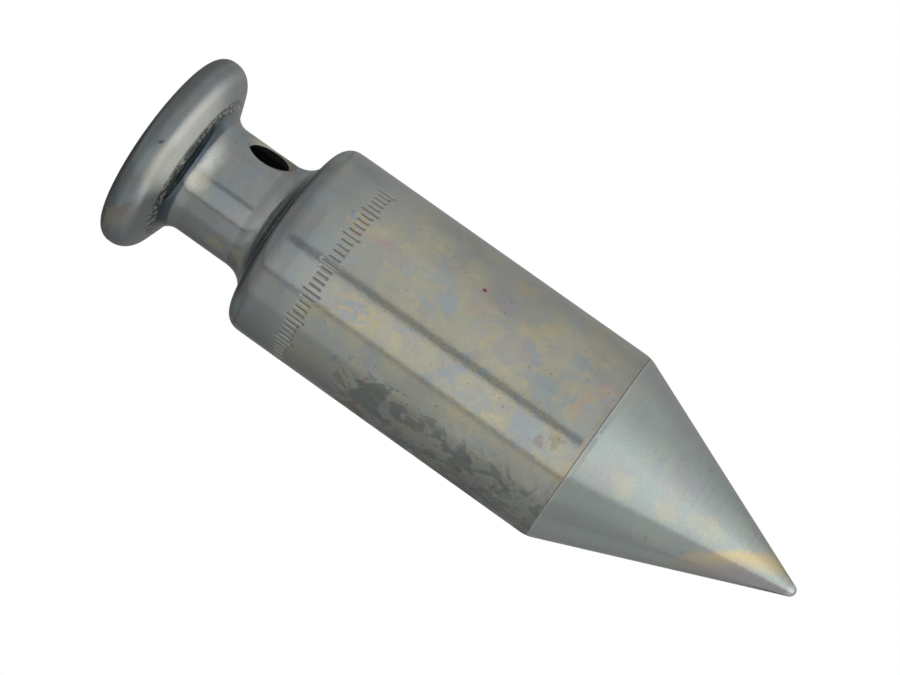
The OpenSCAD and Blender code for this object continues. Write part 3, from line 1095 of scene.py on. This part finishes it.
def makePointMaterial(f):
    material, g, place, shader = startMaterial("turnedPlating")
    side, depth, point, radius = (place[k] for k in ("Side", "Depth", "Point", "Radius"))
    marks = g.use(turnedGroup, Point=point, Depth=depth, Radius=radius, Feed=2.6, Axial=0.15)

    cloud = g.smooth(g.noise(g.scaled(point, 1, 1, 1, 9.0), 0.14, 4.0, 0.6, 0.4), 0.42, 0.66)
    colour = g.layer(f["teal"], f["cream"], cloud, 0.35)
    colour = g.layer(colour, f["straw"], spots(g, place, f["strawSpots"]), 0.27)
    mauve = g.blot(g.scaled(point, 1, 1, 1, 21.0), 0.18, 0.57, 0.1)
    colour = g.layer(colour, f["mauve"], mauve, 0.35)
    colour = g.layer(colour, f["violet"], spots(g, place, f["violetSpots"]), 0.5)

    # heat-tinted band that runs slantwise round the tip: gold at its edge, mauve beyond on one side
    bend = g.smooth(side, 40, 165)
    slant = g.math("SUBTRACT", g.add(depth, g.times(bend, f["heatRise"])), f["heatDepth"])
    slant = g.add(slant, g.times(g.math("SUBTRACT", g.noise(point, 0.35, 3.0), 0.5), 2.5))
    behind = g.times(g.smooth(side, 92, 122), g.smooth(slant, 1.0, 3.4))
    colour = g.layer(colour, f["mauve"], behind, 0.65)
    gold = g.times(g.smooth(slant, -1.2, 1.2), g.smooth(slant, 1.2, 7.0, 1.0, 0.0), g.smooth(side, 168, 118))
    colour = g.layer(colour, f["gold"], gold, g.smooth(side, 100, 135, 0.85, 0.5))
    colour = g.layer(colour, f["pale"], g.smooth(depth, -tipZ - 1.6, -tipZ - 0.7), 0.8)

    # dark rings from the tool, marks and specks, and a painted highlight on the edge at the seam
    ringDepth = g.add(depth, g.times(g.noise(point, 0.2, 2.0), 0.3))
    rings = g.blot(g.join(0.0, 0.0, ringDepth), 1.6, 0.6, 0.06, 2.0)
    colour = g.layer(colour, f["stain"], rings, g.smooth(g.noise(point, 0.15, 2.0), 0.4, 0.6), 0.09)
    stain = spots(g, place, f["stainSpots"])
    colour = g.layer(colour, f["stain"], stain, 0.33)
    specks = g.use(speckGroup, Point=point, Size=1.6, Level=0.55)["Mask"]
    colour = g.layer(colour, f["stain"], specks, 0.3)
    # painted highlight: a pale line along the edge at the seam
    paintedEdgeHighlight = g.smooth(depth, -seamZ + 0.4, -seamZ + 0.12)
    colour = g.layer(colour, f["pale"], paintedEdgeHighlight, g.noise(point, 0.4, 2.0), 0.7)
    fineTone = g.smooth(marks["Grain"], 0.3, 0.7, 0.96, 1.04)
    ringTone = g.smooth(marks["Marks"], 0.35, 0.65, 0.985, 1.015)
    colour = g.tone(colour, g.times(fineTone, ringTone))

    # one side is duller, so that it reflects the tent less clearly; painted shade darkens a band of sides and
    # painted light lifts the sides beyond
    dullSides = g.times(g.smooth(side, 114, 132), g.smooth(side, 190, 225, 1.0, 0.0))
    dull = g.times(dullSides, g.smooth(depth, 112, 108))
    # painted shade: sides 114 to 136 darker
    colour = g.tone(colour, g.smooth(g.between(side, 114, 136, 6), 0, 1, 1.0, 0.86))
    # painted light: sides from 150 degrees on lighter
    colour = g.tone(colour, g.smooth(side, 140, 150, 1.0, 1.1))
    metallic = g.smooth(stain, 0, 1, f["metallic"], f["stainMetallic"])
    metallic = g.math("SUBTRACT", metallic, g.times(dull, f["dullMetallic"]))
    roughness = g.smooth(stain, 0, 1, f["roughness"], f["stainRoughness"])
    roughness = g.add(roughness, g.smooth(marks["Marks"], 0.4, 0.8, 0, 0.08))
    smallWaves = g.noise(point, 0.5, 2.0)
    finishShader(g, shader, colour, metallic, roughness, [
        (smallWaves, 0.2, 0.06), (marks["Marks"], 0.12, 0.012), (marks["Grain"], 0.12, 0.015),
    ])
    return material


body.data.materials.append(makeBodyMaterial(bodyFinish))
point.data.materials.append(makePointMaterial(pointFinish))
print("materials made")

# ---- light and floor: a soft tent that metal sees as panels, edges and a slit at the camera

lightSet = {
    "strength": 1.0,
    # brightness of the tent's wall round the bob, (side angle that the wall lies at, brightness)
    "wall": [(-90, 0.26), (-74, 0.33), (-62, 0.41), (-40, 0.53), (-14, 0.68), (10, 0.74), (23, 0.76),
             (26, 0.82), (58, 0.86), (84, 0.88), (96.5, 0.9), (97.5, 1.02), (131, 1.02), (132.5, 0.46),
             (136.5, 0.46), (138, 0.71), (168, 0.66), (171, 0.50), (190, 0.42), (214, 0.30), (238, 0.19),
             (270, 0.22)],
    # factor by elevation in degrees
    "height": [(-90, 0.85), (-60, 1.0), (-45, 1.08), (-10, 1.05), (-4, 1.0), (11, 1.0), (12, 0.62), (15, 0.62),
               (16, 0.7), (19, 0.7), (21, 0.56), (60, 0.55), (90, 0.6)],
    "slitSides": (86.8, 95.0),
    "slitRise": (-3, 10.5),
    "slitShade": 0.56,
    "slitColour": (0.0, 0.03, 0.09),
    # bright round sheet below the bob, brighter in front, by the same side angle
    "sheet": [(-90, 0.30), (-62, 0.45), (-40, 0.60), (-14, 0.80), (10, 0.92), (34, 1.06), (50, 1.22),
              (72, 1.46), (100, 1.46), (131, 1.22), (132.5, 0.56), (136.5, 0.56), (138.5, 0.88), (166, 0.80),
              (190, 0.80), (214, 0.70), (238, 0.50), (270, 0.34)],
    "sheetZ": -0.18,         # metres
    "sheetR": 0.138,
    "sheetRim": (28, 1),     # millimetres in from its edge, between which it dims
    "rimShade": 0.86,
    "floorZ": -0.30,
    "floorR": 1.2,
    "floorGrey": (0.86, 0.86, 0.86, 1),
    "floorRoughness": 0.7,
}


def bySide(g, side, stops, share=1):
    # a ramp over the side angle, from -90 to 270 degrees
    return g.ramp(g.math("DIVIDE", g.add(side, 90.0), 360.0), [((a + 90) / 360, v * share) for a, v in stops])


def makeTent(s):
    world = bpy.data.worlds.new("softTent")
    world.use_nodes = True
    bpy.context.scene.world = world
    g = Graph(world.node_tree)
    turned = g.node("Mapping")
    g.wire(turned.inputs["Vector"], g.node("TexCoord").outputs["Generated"])
    turned.inputs["Rotation"].default_value = (0, 0, math.radians(90 - frontAngle))
    parts = g.node("SeparateXYZ")
    g.wire(parts.inputs[0], turned.outputs[0])
    x, y, z = parts.outputs
    side = g.add(g.math("DEGREES", g.math("ARCTAN2", g.times(y, -1.0), x)), 90.0)
    rise = g.math("DEGREES", g.math("ARCSINE", z))
    wall = bySide(g, side, s["wall"])
    height = g.ramp(g.math("DIVIDE", g.add(rise, 90.0), 180.0), [((a + 90) / 180, v) for a, v in s["height"]])
    light = g.times(wall, height)
    slit = g.times(g.between(side, *s["slitSides"], 0.5), g.between(rise, *s["slitRise"], 1.0))
    light = g.mix(g.times(slit, s["slitShade"]), light, s["slitColour"])
    plain = world.node_tree.nodes["Background"]
    g.wire(plain.inputs["Color"], light)
    plain.inputs["Strength"].default_value = s["strength"]
    backdrop = g.node("Background")
    backdrop.inputs["Color"].default_value = (1, 1, 1, 1)
    choose = g.node("MixShader")
    g.wire(choose.inputs[0], g.node("LightPath").outputs["Is Camera Ray"])
    g.wire(choose.inputs[1], plain.outputs[0])
    g.wire(choose.inputs[2], backdrop.outputs[0])
    g.wire(world.node_tree.nodes["World Output"].inputs["Surface"], choose.outputs[0])


def makeDisc(name, radius, height):
    # a flat disc round the Z axis, facing up, with a material of its own
    t = around(96)
    points = np.stack([radius * np.cos(t), radius * np.sin(t), 0 * t + height], 1)
    mesh = bpy.data.meshes.new(name)
    mesh.from_pydata(points.tolist(), [], [list(range(len(t)))])
    disc = bpy.data.objects.new(name, mesh)
    bpy.context.scene.collection.objects.link(disc)
    material = bpy.data.materials.new(name)
    material.use_nodes = True
    mesh.materials.append(material)
    return disc, material


def makeFloor(s):
    floor, material = makeDisc("paleFloor", s["floorR"], s["floorZ"])
    shader = material.node_tree.nodes["Principled BSDF"]
    shader.inputs["Base Color"].default_value = s["floorGrey"]
    shader.inputs["Roughness"].default_value = s["floorRoughness"]
    floor.visible_glossy = False


def makeSheet(s):
    # the sheet shines upwards only, and the camera doesn't see it
    sheet, material = makeDisc("lightSheet", s["sheetR"], s["sheetZ"])
    sheet.visible_camera = False
    sheet.visible_shadow = False
    g = Graph(material.node_tree)
    place = g.use(placeGroup)
    inner, outer = (s["sheetR"] / mm - inset for inset in s["sheetRim"])
    dim = g.smooth(place["Radius"], inner, outer, 1.0, s["rimShade"])
    shine = g.node("Emission")
    g.wire(shine.inputs["Color"], g.tone(bySide(g, place["Side"], s["sheet"], 0.5), dim))
    shine.inputs["Strength"].default_value = 2  # makes up for the halved ramp, which holds no more than 1
    choose = g.node("MixShader")
    g.wire(choose.inputs[0], g.node("NewGeometry").outputs["Backfacing"])
    g.wire(choose.inputs[1], shine.outputs[0])
    g.wire(choose.inputs[2], g.node("BsdfTransparent").outputs[0])
    g.wire(material.node_tree.nodes["Material Output"].inputs["Surface"], choose.outputs[0])


makeTent(lightSet)
makeFloor(lightSet)
makeSheet(lightSet)
print("light and floor made")
